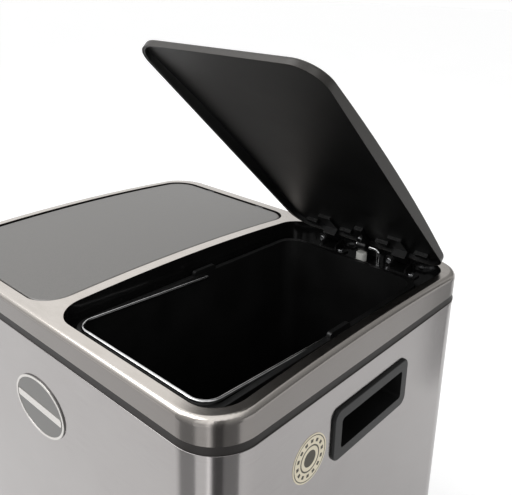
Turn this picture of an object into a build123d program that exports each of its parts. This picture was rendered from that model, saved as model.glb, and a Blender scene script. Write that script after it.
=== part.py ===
"""Two-compartment stainless pedal bin, as an assembly of separate pieces.

Each compartment has its own pedal under the front of the base. The pedal's
lever turns on a pin under the floor, its rear end lifts a bent wire rod behind
the inner bucket, and the rod's top run turns the lid on two hinge lugs hidden
under the rear of the rim. The right lid stands open and the left lid is shut.

Frame: millimetres, +X to the right seen from the front, +Y to the back, +Z up.
The origin is on the floor, under the middle of the whole bin with its pedals.
"""

from build123d import *

import os
from math import atan2, degrees, radians, sqrt

os.makedirs("parts", exist_ok=True)

# --- driving sizes ---------------------------------------------------------
width = 405.0  # body, left to right
depth = 330.0  # body, front to back
rim_height = 430.0  # floor to the rim's front and rear edges
crown = 6.5  # rise of the rim and lids half-way back
corner_radius = 36.0  # vertical corners of the body
pedal_reach = 36.0  # pedal tip in front of the body

# --- steel body and rim ----------------------------------------------------
shell_sheet = 0.6
bead_height = 2.4  # rolled bead round the shell's top edge
bead_proud = 0.5
rim_sheet = 0.8
rim_skirt = 18.0
rim_bend = 5.0  # bend between the rim's top and its skirt
band_height = 6.5  # plastic band between the shell and the rim
band_inset = 0.3
band_width = 4.0
band_lip = 8.0  # lip that reaches down inside the shell

# --- the two openings ------------------------------------------------------
side_margin = 11.0
front_margin = 11.0
rear_margin = 15.0
divider = 11.0
opening_radius = 26.0

# --- plastic frame under the rim ------------------------------------------
frame_inset = 4.6
frame_wall = 2.0
frame_deck = 2.2
well_gap = 0.4  # well wall stands this far back from the rim's edge
ledge_drop = 16.0  # ledge top below the rim's edge
ledge_thickness = 2.5
seat_clearance = 0.2  # between fixed pieces laid on each other
rest_gap = 0.3  # under a loose piece where it stands

# --- lids ------------------------------------------------------------------
lid_gap = 2.0
lid_recess = 1.0  # shut lid's top below the rim's top
lid_sheet = 0.6
lid_bend = 2.2
lid_wall_drop = 6.5  # lid's lip below the rim's edge
liner_wall = 1.6
liner_gap = 0.1
liner_drop = 6.0
rib_length = 14.0
rib_width = 6.0
rib_pitch = 44.0
lid_range = 70.0  # degrees, shut to fully open
lid_rest = 43.1  # degrees, the right lid's resting opening

# --- lid hinge -------------------------------------------------------------
axis_from_rear = 11.0
axis_drop = 2.6
pin_radius = 1.25
pin_fit = 0.05  # running clearance in the lug
press_fit = 0.01  # pin held in its cheeks
knuckle_wall = 0.9
lug_width = 15.0
lug_spacing = 84.0
lug_arm = 3.4
lug_drop = 8.5  # underside of the goose-neck below the axis
lug_reach = 13.0  # goose-neck's front below the lid
lug_pad_length = 35.0
lug_pad_drop = 3.4  # pad's underside below the rim's edge
pad_seat = 0.02  # pads below the liner
cheek = 2.0
cheek_gap = 0.4
bracket_sheet = 1.6
notch_clearance = 0.6
bracket_foot_front = 16.0  # foot's front edge ahead of the axis
bracket_back = 3.0  # bracket's rear edge behind the axis
bracket_neck = 3.6
bracket_top = 2.1
bracket_toe = 12.0
bracket_toe_width = 11.0
bracket_toe_back = 14.0
bracket_wing = 9.0
bracket_wing_height = 8.0
screw_head = 3.1
screw_head_height = 1.6
screw_shank = 1.4
screw_grip = 2.0

# --- lift rod, clip and damper --------------------------------------------
rod_radius = 2.0
rod_bend = 4.5
rod_head = 3.3
rod_head_height = 2.0
rod_head_gap = 0.6
rod_fit = 0.1
rod_offset = 18.0  # rod from the middle of its compartment
rod_from_axis = 10.9
rod_below_axis = 7.68  # top run below the hinge axis, lid shut
rod_rise_per_degree = 0.1969
clip_width = 9.6
clip_wall = 1.8
clip_pad_length = 33.0
clip_screw_share = 0.35  # way along the clip's sloping face
clip_screw_head = 2.6
relief_height = 1.7
eye_length = 7.4
eye_height = 6.2
plunger_radius = 5.5
plunger_height = 12.0
plunger_gap = 0.5  # plunger below the shut clip
plunger_rise_per_degree = 0.18
stem_radius = 2.5
stem_overlap = 17.4  # stem left inside the cylinder at full rise
damper_radius = 7.5
damper_from_rear = 25.0
damper_length = 44.0

# --- inner buckets ---------------------------------------------------------
bucket_width = 162.0  # over the rolled flange
bucket_depth = 273.0
bucket_top_drop = 12.5  # flange top below the rim's edge
bucket_front_gap = 11.0  # rim opening's front edge to the flange
bucket_shift = 6.5  # towards the middle of the bin
bucket_radius = 18.0
bucket_flange = 3.0
bucket_wall = 1.8
bucket_taper = 18.0  # narrower at the bottom
ear_length = 27.0
ear_rise = 4.5
bail_radius = 1.5
bail_tip_radius = 1.4  # where it passes through the ears
bail_fit = 0.1
bail_gap = 0.4
bail_pivot_drop = 4.0
bail_corner = 14.5
bail_bar_rise = 2.2  # front bar's middle above the flange
bail_bar_inset = 2.6  # front bar's middle from the flange's front edge
bail_tip = 5.0
bail_from_front = 165.0
bucket_bead = 5.0
bucket_floor = 2.0
bucket_foot_radius = 6.0
ear_corner = 3.0
ear_inset = 0.5

# --- base, feet and pedals -------------------------------------------------
foot_height = 4.0
foot_radius = 13.0
foot_margin = 42.0
plinth_bottom = 2.0
plinth_height = 31.0
plinth_proud = 0.8
plinth_wall = 3.0
floor_thickness = 3.0
spigot_height = 10.0
spigot_wall = 2.5
spigot_gap = 0.4
pedal_width = 76.0
pedal_thickness = 2.5
pedal_gap = 5.0  # between the foot plate and the plinth
pedal_corner = 6.0
tread_pitch = 6.0
tread_thickness = 2.0
tread_margin = 5.0
pedal_nose = 0.3
lever_width = 26.0
lever_thickness = 3.0
lever_gap = 0.5
lever_from_rod = 12.0
lever_pivot_y = 180.0  # from the body's front
lever_pivot_z = 16.0
lever_front_z = 25.0
lever_rear_z = 9.5
lever_barrel = 5.0
lever_pin = 3.0
lever_ear = 3.0
lever_ear_front = 9.0
lever_ear_height = 9.4
rod_foot_z = 8.0
guide_radius = 4.0
guide_flange = 6.0
slot_clearance = 4.0

# --- side grips, badge and label ------------------------------------------
grip_length = 105.0
grip_height = 45.0
grip_radius = 8.0
grip_proud = 2.5
grip_frame = 9.5
grip_pocket = 24.0
grip_wall = 2.0
grip_hole_gap = 1.0
grip_from_front = 170.5
grip_below_rim = 68.5
badge_length = 72.0
badge_height = 50.0
badge_thickness = 1.2
badge_below_rim = 80.5
label_radius = 19.0
label_thickness = 0.3
label_from_front = 92.0
label_below_rim = 70.0

# --- places worked out from the sizes above -------------------------------
front_y = -(depth + plinth_proud - pedal_reach) / 2
mid_y = front_y + depth / 2
rear_y = front_y + depth
crown_radius = (depth / 2) ** 2 / (2 * crown) + crown / 2
band_top = rim_height - rim_skirt
shell_top = band_top - band_height
shell_bottom = plinth_height
floor_top = plinth_height
floor_under = floor_top - floor_thickness
opening_width = (width - 2 * side_margin - divider) / 2
opening_depth = depth - front_margin - rear_margin
opening_x = (divider + opening_width) / 2
opening_y = front_y + front_margin + opening_depth / 2
opening_rear = front_y + front_margin + opening_depth
ledge_top = rim_height - ledge_drop
axis_y = rear_y - axis_from_rear
axis_z = rim_height - axis_drop
rod_x = opening_x + rod_offset
rod_y = axis_y - rod_from_axis
rod_top_z = axis_z - rod_below_axis
eye_y = axis_y - rod_from_axis + (eye_length / 2 - rod_radius) * 0.7
eye_z = axis_z - rod_below_axis + 0.2
eye_under = eye_z - eye_height / 2 - clip_wall
plunger_top = eye_under - plunger_gap
stem_length = lid_range * plunger_rise_per_degree + stem_overlap
damper_y = rear_y - damper_from_rear
bucket_x = opening_x - bucket_shift
bucket_y = front_y + front_margin + bucket_front_gap + bucket_depth / 2
bucket_top = rim_height - bucket_top_drop
bucket_bottom = floor_top + rest_gap
liner_under = -(lid_recess + lid_sheet + liner_gap + liner_wall + pad_seat)
lever_x = rod_x - lever_from_rod
pivot_y = front_y + lever_pivot_y
lever_length = rod_y - pivot_y
lever_per_lid = rod_rise_per_degree / lever_length / radians(1)
grip_y = front_y + grip_from_front
bail_y = front_y + bail_from_front
wing_z = axis_z - lug_drop - 0.5
grip_z = rim_height - grip_below_rim


def crown_face(level):
    """Side profile of everything below the crowned surface, level above the rim's top."""
    half = 0.6 * depth
    drop = crown_radius - sqrt(crown_radius**2 - half**2)
    edge_z = rim_height + crown + level - drop
    with BuildSketch(Plane.YZ.offset(-width)) as profile:
        with BuildLine():
            ThreePointArc(
                (mid_y - half, edge_z),
                (mid_y, rim_height + crown + level),
                (mid_y + half, edge_z),
            )
            Polyline(
                (mid_y + half, edge_z),
                (mid_y + half, -depth),
                (mid_y - half, -depth),
                (mid_y - half, edge_z),
            )
        make_face()
    return profile.sketch


def plan(x, y, z, length, breadth, radius):
    """Rounded rectangle on a level plane."""
    with BuildSketch(Plane((x, y, z))) as outline:
        RectangleRounded(length, breadth, radius)
    return outline.sketch


def body_plan(z, inset):
    """Outline of the body at height z, moved inwards by inset."""
    return plan(0, mid_y, z, width - 2 * inset, depth - 2 * inset, corner_radius - inset)


def opening_plan(z, grow, side=1):
    """Outline of one compartment's opening at height z, grown outwards."""
    return plan(
        side * opening_x,
        opening_y,
        z,
        opening_width + 2 * grow,
        opening_depth + 2 * grow,
        opening_radius + grow,
    )


def bucket_plan(z, grow, side=1):
    """Outline of one bucket's flange at height z, grown outwards."""
    return plan(
        side * bucket_x,
        bucket_y,
        z,
        bucket_width + 2 * grow,
        bucket_depth + 2 * grow,
        bucket_radius + grow,
    )


# --- body ------------------------------------------------------------------
def make_body_shell():
    """Steel wrap with a rolled bead at its top and a hole for each grip."""
    cover = 2 * (grip_frame - grip_wall - grip_hole_gap)
    with BuildPart() as shell:
        extrude(to_extrude=body_plan(shell_bottom, 0), amount=shell_top - shell_bottom)
        extrude(to_extrude=body_plan(shell_top - bead_height, -bead_proud), amount=bead_height)
        extrude(
            to_extrude=body_plan(shell_bottom, shell_sheet),
            amount=shell_top - shell_bottom,
            mode=Mode.SUBTRACT,
        )
        bead_edges = shell.faces().sort_by(Axis.Z)[-1].outer_wire().edges()
        fillet(bead_edges, bead_proud * 0.9)
        with BuildSketch(Plane.YZ):
            with Locations((grip_y, grip_z)):
                RectangleRounded(grip_length - cover, grip_height - cover, grip_radius / 2)
        extrude(amount=width, both=True, mode=Mode.SUBTRACT)
    return shell.part


def make_neck_band():
    """Plastic ring between the shell and the rim, with a lip inside the shell."""
    lip_inset = shell_sheet + spigot_gap
    with BuildPart() as band:
        extrude(to_extrude=body_plan(shell_top, band_inset), amount=band_height)
        extrude(to_extrude=body_plan(shell_top - band_lip, lip_inset), amount=band_lip)
        extrude(
            to_extrude=body_plan(shell_top - band_lip, band_inset + band_width),
            amount=band_lip + band_height,
            mode=Mode.SUBTRACT,
        )
    return band.part


def make_steel_rim():
    """One pressed sheet: crowned top with two openings, bent down into a skirt."""
    with BuildPart() as rim:
        extrude(to_extrude=body_plan(band_top, 0), amount=rim_skirt + 2 * crown)
        extrude(to_extrude=crown_face(0), amount=2 * width, mode=Mode.INTERSECT)
        fillet(rim.faces().sort_by(Axis.Z)[-1].outer_wire().edges(), rim_bend)
        offset(amount=-rim_sheet, openings=rim.faces().sort_by(Axis.Z)[0])
        for side in (1, -1):
            extrude(
                to_extrude=opening_plan(band_top, 0, side),
                amount=rim_skirt + 2 * crown,
                mode=Mode.SUBTRACT,
            )
    return rim.part


def make_top_frame():
    """Black moulding under the rim: deck, two wells, ledges and the hinge notches."""
    full = rim_skirt + 2 * crown
    notch_width = lug_width + 2 * (cheek + cheek_gap + notch_clearance)
    notch_front = opening_rear - 2 * frame_wall
    notch_rear = rear_y - frame_inset - frame_wall
    with BuildPart() as frame:
        extrude(to_extrude=body_plan(band_top, frame_inset), amount=full)
        extrude(
            to_extrude=crown_face(-rim_sheet - seat_clearance),
            amount=2 * width,
            mode=Mode.INTERSECT,
        )
        with BuildSketch(Plane.XY.offset(band_top)):
            add(body_plan(band_top, frame_inset + frame_wall))
            for side in (1, -1):
                add(opening_plan(band_top, well_gap + frame_wall, side), mode=Mode.SUBTRACT)
        extrude(amount=rim_skirt - frame_deck - rim_sheet, mode=Mode.SUBTRACT)
        with BuildSketch(Plane.XY.offset(band_top)):
            add(body_plan(band_top, shell_sheet + spigot_gap))
            add(body_plan(band_top, frame_inset + frame_wall / 2), mode=Mode.SUBTRACT)
        extrude(amount=ledge_thickness)
        for side in (1, -1):
            extrude(
                to_extrude=opening_plan(ledge_top, well_gap, side),
                amount=full,
                mode=Mode.SUBTRACT,
            )
            extrude(
                to_extrude=bucket_plan(band_top, notch_clearance * 2, side),
                amount=full,
                mode=Mode.SUBTRACT,
            )
            for place in (-1, 1):
                with BuildSketch(Plane.XY.offset(ledge_top)):
                    lug_x = side * opening_x + place * lug_spacing / 2
                    with Locations((lug_x, (notch_front + notch_rear) / 2)):
                        Rectangle(notch_width, notch_rear - notch_front)
                extrude(amount=full, mode=Mode.SUBTRACT)
            with BuildSketch(Plane.XY.offset(band_top)):
                with Locations((side * rod_x, rod_y)):
                    Circle(rod_radius + notch_clearance)
                with Locations((side * opening_x, damper_y)):
                    Circle(plunger_radius + notch_clearance)
            extrude(amount=ledge_thickness, mode=Mode.SUBTRACT)
    return frame.part


# --- base ------------------------------------------------------------------
def foot_places():
    """Centres of the four feet."""
    x = width / 2 - foot_margin
    y = depth / 2 - foot_margin
    return [(i * x, mid_y + j * y) for i in (-1, 1) for j in (-1, 1)]


def make_base_tray():
    """Plinth with the bin's floor, foot bosses, pedal slots and lever cheeks."""
    boss_radius = foot_radius - 2
    cheek_offset = lever_width / 2 + lever_gap
    with BuildPart() as tray:
        extrude(
            to_extrude=body_plan(plinth_bottom, -plinth_proud),
            amount=plinth_height - plinth_bottom,
        )
        extrude(
            to_extrude=body_plan(plinth_height, shell_sheet + spigot_gap),
            amount=spigot_height,
        )
        extrude(
            to_extrude=body_plan(floor_top, shell_sheet + spigot_gap + spigot_wall),
            amount=spigot_height,
            mode=Mode.SUBTRACT,
        )
        extrude(
            to_extrude=body_plan(plinth_bottom, plinth_wall),
            amount=floor_under - plinth_bottom,
            mode=Mode.SUBTRACT,
        )
        for side in (1, -1):
            with BuildSketch(Plane.XZ.offset(-front_y - plinth_wall * 2)):
                with Locations((side * lever_x, floor_under / 2)):
                    Rectangle(lever_width + 2 * slot_clearance, floor_under)
            extrude(amount=plinth_wall * 4, mode=Mode.SUBTRACT)
            for place in (-1, 1):
                inner = side * lever_x + place * (cheek_offset + plinth_wall / 2)
                with BuildSketch(Plane.YZ.offset(inner)):
                    with Locations((pivot_y, lever_pivot_z)):
                        Circle(lever_barrel + 2)
                    with Locations((pivot_y, (lever_pivot_z + floor_under) / 2)):
                        Rectangle(2 * lever_barrel + 4, floor_under - lever_pivot_z)
                    with Locations((pivot_y, lever_pivot_z)):
                        Circle(lever_pin + press_fit, mode=Mode.SUBTRACT)
                extrude(amount=plinth_wall / 2, both=True)
            with BuildSketch(Plane.XY.offset(floor_under)):
                with Locations((side * rod_x, rod_y)):
                    Circle(guide_radius + press_fit)
            extrude(amount=floor_thickness, mode=Mode.SUBTRACT)
        with BuildSketch(Plane.XY.offset(foot_height)):
            with Locations(*foot_places()):
                Circle(boss_radius)
        extrude(amount=floor_under - foot_height)
        with BuildSketch(Plane.XY.offset(foot_height)):
            with Locations(*foot_places()):
                Circle(2.2)
        extrude(amount=floor_under / 2, mode=Mode.SUBTRACT)
    return tray.part


def make_rubber_feet():
    """Four round feet with a recess for each screw head."""
    with BuildPart() as feet:
        with BuildSketch(Plane.XY):
            with Locations(*foot_places()):
                Circle(foot_radius)
        extrude(amount=foot_height)
        fillet(feet.faces().group_by(Axis.Z)[0].edges(), 1.0)
        with BuildSketch(Plane.XY):
            with Locations(*foot_places()):
                Circle(4.5)
        extrude(amount=foot_height / 2, mode=Mode.SUBTRACT)
        with BuildSketch(Plane.XY):
            with Locations(*foot_places()):
                Circle(2.2)
        extrude(amount=foot_height, mode=Mode.SUBTRACT)
    return feet.part


def make_foot_screws():
    """Four pan-head screws that hold the feet."""
    with BuildPart() as screws:
        with BuildSketch(Plane.XY.offset(foot_height / 2 - 1.5)):
            with Locations(*foot_places()):
                Circle(4.0)
        extrude(amount=1.5)
        with BuildSketch(Plane.XY.offset(foot_height / 2)):
            with Locations(*foot_places()):
                Circle(2.0)
        extrude(amount=10.0)
    return screws.part


# --- side grips, badge and label ------------------------------------------
def make_grip():
    """Recessed finger grip for the right side: proud frame and a closed pocket."""
    face_x = width / 2
    pocket_length = grip_length - 2 * grip_frame
    pocket_height = grip_height - 2 * grip_frame
    with BuildPart() as grip:
        with BuildSketch(Plane.YZ.offset(face_x)):
            with Locations((grip_y, grip_z)):
                RectangleRounded(grip_length, grip_height, grip_radius)
        extrude(amount=grip_proud)
        fillet(grip.faces().sort_by(Axis.X)[-1].edges(), grip_proud * 0.6)
        with BuildSketch(Plane.YZ.offset(face_x)):
            with Locations((grip_y, grip_z)):
                RectangleRounded(
                    pocket_length + 2 * grip_wall,
                    pocket_height + 2 * grip_wall,
                    grip_radius / 2,
                )
        extrude(amount=-grip_pocket - grip_wall)
        with BuildSketch(Plane.YZ.offset(face_x + grip_proud)):
            with Locations((grip_y, grip_z)):
                RectangleRounded(pocket_length, pocket_height, grip_radius / 2 - 1)
        extrude(amount=-grip_pocket - grip_proud, mode=Mode.SUBTRACT)
    return grip.part


def make_badge():
    """Plain oval badge with a raised border, on the front of the body."""
    with BuildPart() as badge:
        with BuildSketch(Plane.XZ.offset(-front_y)):
            with Locations((0, rim_height - badge_below_rim)):
                Ellipse(badge_length / 2, badge_height / 2)
        extrude(amount=badge_thickness)
        with BuildSketch(Plane.XZ.offset(-front_y + badge_thickness)):
            with Locations((0, rim_height - badge_below_rim)):
                Ellipse(badge_length / 2 - 3, badge_height / 2 - 3)
        extrude(amount=-badge_thickness / 3, mode=Mode.SUBTRACT)
    return badge.part


def make_round_label():
    """Thin round sticker on the right side."""
    with BuildPart() as label:
        with BuildSketch(Plane.YZ.offset(width / 2)):
            with Locations((front_y + label_from_front, rim_height - label_below_rim)):
                Circle(label_radius)
        extrude(amount=label_thickness)
    return label.part


# --- lid, modelled shut on the right-hand compartment ----------------------
def clip_relief():
    """Notch in the lid's rear lip, above the rod clip's eye."""
    with BuildSketch(Plane.XY.offset(rim_height - lid_wall_drop)) as notch:
        with Locations((opening_x, opening_rear - lid_gap)):
            Rectangle(clip_width + 2 * notch_clearance, 2 * (lid_gap + liner_wall))
    return notch.sketch


def make_lid_shell():
    """Steel skin of the lid: crowned top, bent edge and a short wall."""
    with BuildPart() as skin:
        extrude(
            to_extrude=opening_plan(rim_height - lid_wall_drop, -lid_gap),
            amount=lid_wall_drop + 2 * crown,
        )
        extrude(to_extrude=crown_face(-lid_recess), amount=2 * width, mode=Mode.INTERSECT)
        fillet(skin.faces().sort_by(Axis.Z)[-1].outer_wire().edges(), lid_bend)
        offset(amount=-lid_sheet, openings=skin.faces().sort_by(Axis.Z)[0])
        extrude(to_extrude=clip_relief(), amount=relief_height, mode=Mode.SUBTRACT)
    return skin.part


def make_lid_liner():
    """Black plastic dish inside the skin, with stiffening ribs near its rear."""
    inset = lid_gap + lid_sheet + liner_gap
    rib_y = axis_y - lug_reach - 3
    with BuildPart() as liner:
        extrude(
            to_extrude=opening_plan(rim_height - liner_drop, -inset),
            amount=liner_drop + 2 * crown,
        )
        extrude(
            to_extrude=crown_face(-lid_recess - lid_sheet - liner_gap),
            amount=2 * width,
            mode=Mode.INTERSECT,
        )
        fillet(liner.faces().sort_by(Axis.Z)[-1].outer_wire().edges(), lid_bend)
        offset(amount=-liner_wall, openings=liner.faces().sort_by(Axis.Z)[0])
        with BuildSketch(Plane.XY.offset(rim_height - liner_drop + 1)):
            with Locations((opening_x, rib_y)):
                with GridLocations(rib_pitch, rib_width, 4, 1):
                    Rectangle(rib_length, rib_width)
        extrude(amount=liner_drop - 1 - liner_wall / 2)
        extrude(to_extrude=clip_relief(), amount=relief_height, mode=Mode.SUBTRACT)
    return liner.part


def make_lid_lugs():
    """Two goose-neck lugs that reach under the rim's rear edge to the hinge axis."""
    with BuildPart() as lugs:
        for place in (-1, 1):
            lug_x = opening_x + place * lug_spacing / 2
            with BuildSketch(Plane.YZ.offset(lug_x - lug_width / 2)):
                with Locations((axis_y, axis_z)):
                    Circle(pin_radius + pin_fit + knuckle_wall)
                with BuildLine():
                    Polyline(
                        (axis_y + lug_arm / 2, axis_z),
                        (axis_y + lug_arm / 2, axis_z - lug_drop),
                        (axis_y - lug_reach, axis_z - lug_drop),
                        (axis_y - lug_reach, rim_height - lug_pad_drop),
                        (axis_y - lug_pad_length, rim_height - lug_pad_drop),
                        (axis_y - lug_pad_length, rim_height + crown),
                        (axis_y - lug_reach + 4, rim_height + crown),
                        (axis_y - lug_reach + 4, axis_z - lug_drop + lug_arm + 0.6),
                        (axis_y - lug_arm / 2, axis_z - lug_drop + lug_arm + 0.6),
                        (axis_y - lug_arm / 2, axis_z),
                        close=True,
                    )
                make_face()
                with Locations((axis_y, axis_z)):
                    Circle(pin_radius + pin_fit, mode=Mode.SUBTRACT)
            extrude(amount=lug_width)
        extrude(to_extrude=crown_face(liner_under), amount=2 * width, mode=Mode.INTERSECT)
    return lugs.part


def clip_slope():
    """Plane on the clip's sloping face, facing away from the lid, where its screw sits."""
    face_front_y = axis_y - clip_pad_length
    face_front_z = rim_height - lug_pad_drop - 1
    face_rear_y = eye_y - eye_height / 2 - clip_wall
    run = face_rear_y - face_front_y
    fall = face_front_z - eye_z
    return Plane(
        origin=(
            opening_x,
            face_rear_y - clip_screw_share * run,
            eye_z + clip_screw_share * fall,
        ),
        x_dir=(1, 0, 0),
        z_dir=(0, -fall, -run),
    )


def make_rod_clip():
    """Clip under the lid whose long eye holds the rod's top run."""
    eye_radius = eye_height / 2 + clip_wall
    with BuildPart() as clip:
        with BuildSketch(Plane.YZ.offset(opening_x - clip_width / 2)):
            with Locations((eye_y, eye_z)):
                SlotOverall(eye_length + 2 * clip_wall, 2 * eye_radius)
            with BuildLine():
                Polyline(
                    (eye_y, eye_z),
                    (eye_y - eye_radius, eye_z),
                    (axis_y - clip_pad_length, rim_height - lug_pad_drop - 1),
                    (axis_y - clip_pad_length, rim_height + crown),
                    (eye_y, rim_height + crown),
                    close=True,
                )
            make_face()
            with Locations((eye_y, eye_z)):
                SlotOverall(eye_length, eye_height, mode=Mode.SUBTRACT)
        extrude(amount=clip_width)
        extrude(to_extrude=crown_face(liner_under), amount=2 * width, mode=Mode.INTERSECT)
        with BuildSketch(clip_slope()):
            Circle(screw_shank + press_fit)
        extrude(amount=-screw_grip - press_fit, mode=Mode.SUBTRACT)
    return clip.part


def make_lid_screws():
    """Pan-head screw in the rod clip's sloping face."""
    with BuildPart() as screws:
        with BuildSketch(clip_slope()):
            Circle(clip_screw_head)
        extrude(amount=screw_head_height)
        fillet(screws.faces().sort_by(Axis.Z)[0].edges(), screw_head_height * 0.6)
        with BuildSketch(clip_slope()):
            Circle(screw_shank)
        extrude(amount=-screw_grip)
    return screws.part


# --- hinge hardware, fixed to the frame's rear ledge ----------------------
def make_hinge_brackets():
    """One bracket per lug: foot on the ledge, two cheeks for the pin, one wing."""
    with BuildPart() as brackets:
        for place in (-1, 1):
            lug_x = opening_x + place * lug_spacing / 2
            outer = lug_width / 2 + cheek_gap + cheek
            foot_front = axis_y - bracket_foot_front
            foot_rear = axis_y + bracket_back
            with BuildSketch(Plane.XY.offset(ledge_top)):
                with Locations((lug_x, (foot_front + foot_rear) / 2)):
                    Rectangle(2 * outer, foot_rear - foot_front)
                with Locations((lug_x + outer + bracket_toe / 2, axis_y - bracket_toe_back)):
                    Rectangle(bracket_toe, bracket_toe_width)
            extrude(amount=bracket_sheet)
            for hand in (-1, 1):
                with BuildSketch(Plane.YZ.offset(lug_x + hand * (outer - cheek / 2))):
                    with BuildLine():
                        Polyline(
                            (foot_front + 2, ledge_top),
                            (foot_front + 2, axis_z - lug_drop),
                            (axis_y - bracket_neck, axis_z - bracket_neck - 1),
                            (axis_y - bracket_neck, axis_z + bracket_top),
                            (foot_rear, axis_z + bracket_top),
                            (foot_rear, ledge_top),
                            close=True,
                        )
                    make_face()
                    with Locations((axis_y, axis_z)):
                        Circle(pin_radius + press_fit, mode=Mode.SUBTRACT)
                extrude(amount=cheek / 2, both=True)
            with BuildSketch(Plane.XZ.offset(-(opening_rear + well_gap - seat_clearance))):
                with Locations((lug_x - outer - bracket_wing / 2 + 1, wing_z)):
                    Rectangle(bracket_wing + 2, bracket_wing_height)
            extrude(amount=bracket_sheet)
    return brackets.part


def make_hinge_pins():
    """Two short pins, one through each lug and its bracket."""
    half = lug_width / 2 + cheek_gap + cheek
    with BuildPart() as pins:
        for place in (-1, 1):
            with BuildSketch(Plane.YZ.offset(opening_x + place * lug_spacing / 2 - half)):
                with Locations((axis_y, axis_z)):
                    Circle(pin_radius)
            extrude(amount=2 * half)
    return pins.part


def make_hinge_screws():
    """Pan-head screws of the brackets: one in each wing, one in each toe."""
    outer = lug_width / 2 + cheek_gap + cheek
    wing_front = opening_rear + well_gap - seat_clearance - bracket_sheet
    lugs = [opening_x + place * lug_spacing / 2 for place in (-1, 1)]
    with BuildPart() as screws:
        with BuildSketch(Plane.XZ.offset(-wing_front)):
            with Locations(*[(lug_x - outer - bracket_wing / 2, wing_z) for lug_x in lugs]):
                Circle(screw_head)
        extrude(amount=screw_head_height)
        fillet(screws.faces().group_by(Axis.Y)[0].edges(), screw_head_height * 0.6)
        toe_y = axis_y - bracket_toe_back
        with BuildSketch(Plane.XY.offset(ledge_top + bracket_sheet)):
            with Locations(*[(lug_x + outer + bracket_toe / 2, toe_y) for lug_x in lugs]):
                Circle(screw_head)
        extrude(amount=screw_head_height)
        toe_tops = screws.faces().filter_by(Plane.XY).group_by(Axis.Z)[-1]
        fillet(toe_tops.edges(), screw_head_height * 0.6)
    return screws.part


# --- damper and lift rod ---------------------------------------------------
def make_damper_body():
    """Soft-close cylinder hanging under the rear ledge."""
    with BuildPart() as damper:
        with BuildSketch(Plane((opening_x, damper_y, band_top - damper_length))):
            Circle(damper_radius)
        extrude(amount=damper_length)
        with BuildSketch(Plane((opening_x, damper_y, plunger_top - plunger_height - 1))):
            Circle(plunger_radius + rod_fit)
        extrude(amount=plunger_height * 2, mode=Mode.SUBTRACT)
        with BuildSketch(Plane((opening_x, damper_y, plunger_top - plunger_height - stem_length - 2))):
            Circle(stem_radius + rod_fit)
        extrude(amount=stem_length + 2, mode=Mode.SUBTRACT)
    return damper.part


def make_damper_plunger():
    """White nylon plunger that follows the clip."""
    with BuildPart() as plunger:
        with BuildSketch(Plane((opening_x, damper_y, plunger_top - plunger_height))):
            Circle(plunger_radius)
        extrude(amount=plunger_height)
        fillet(plunger.faces().sort_by(Axis.Z)[-1].edges(), 1.2)
        with BuildSketch(Plane((opening_x, damper_y, plunger_top - plunger_height))):
            Circle(stem_radius)
        extrude(amount=-stem_length)
    return plunger.part


def make_lift_rod():
    """Steel wire rod, bent at the top into the clip and at the foot into the lever."""
    top_end = opening_x - clip_width / 2 - rod_head_gap
    foot_end = lever_x - lever_ear / 2 - rod_head_gap
    with BuildPart() as rod:
        with BuildLine(Plane.XZ.offset(-rod_y)) as path:
            FilletPolyline(
                (top_end, rod_top_z),
                (rod_x, rod_top_z),
                (rod_x, rod_foot_z),
                (foot_end, rod_foot_z),
                radius=rod_bend,
            )
        with BuildSketch(Plane(path.line @ 0, z_dir=path.line % 0)):
            Circle(rod_radius)
        sweep(path=path.line)
        with BuildSketch(Plane.YZ.offset(top_end)):
            with Locations((rod_y, rod_top_z)):
                Circle(rod_head)
        extrude(amount=-rod_head_height)
        with BuildSketch(Plane.YZ.offset(foot_end)):
            with Locations((rod_y, rod_foot_z)):
                Circle(rod_head)
        extrude(amount=-rod_head_height)
    return rod.part


def make_rod_guide():
    """Flanged nylon bush where the rod passes through the floor."""
    with BuildPart() as guide:
        with BuildSketch(Plane((rod_x, rod_y, floor_under))):
            Circle(guide_radius)
        extrude(amount=floor_thickness)
        with BuildSketch(Plane((rod_x, rod_y, floor_top))):
            Circle(guide_flange)
        extrude(amount=2.0)
        with BuildSketch(Plane((rod_x, rod_y, floor_under))):
            Circle(rod_radius + rod_fit)
        extrude(amount=floor_thickness + 2.0, mode=Mode.SUBTRACT)
    return guide.part


# --- pedal -----------------------------------------------------------------
def make_pedal_lever():
    """Flat bar with a pivot tube, and an ear at the rear for the rod's foot."""
    half = lever_thickness / 2
    bar_front = front_y - pedal_reach + tread_margin
    slope = (lever_front_z - lever_pivot_z) / lever_pivot_y
    tip_z = lever_front_z + slope * (front_y - bar_front)
    bar_rear = rod_y - rod_head - slot_clearance
    with BuildPart() as lever:
        with BuildSketch(Plane.YZ.offset(lever_x - lever_width / 2)):
            with BuildLine():
                Polyline(
                    (bar_front, tip_z - half),
                    (pivot_y, lever_pivot_z - half),
                    (bar_rear, lever_rear_z - half),
                    (bar_rear, lever_rear_z + half),
                    (pivot_y, lever_pivot_z + half),
                    (bar_front, tip_z + half),
                    close=True,
                )
            make_face()
            with Locations((pivot_y, lever_pivot_z)):
                Circle(lever_barrel)
                Circle(lever_pin + pin_fit, mode=Mode.SUBTRACT)
        extrude(amount=lever_width)
        with BuildSketch(Plane.YZ.offset(lever_x - lever_ear / 2)):
            with Locations((bar_rear, rod_foot_z)):
                Rectangle(2 * lever_ear_front, lever_ear_height)
            with Locations((rod_y, rod_foot_z)):
                Circle(lever_ear_height / 2)
            with Locations(((bar_rear + rod_y) / 2, rod_foot_z)):
                Rectangle(rod_y - bar_rear, lever_ear_height)
            with Locations((rod_y - 0.12, rod_foot_z)):
                SlotOverall(2 * rod_radius + 1.0, 2 * rod_radius + 0.7, mode=Mode.SUBTRACT)
        extrude(amount=lever_ear)
    return lever.part


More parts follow.
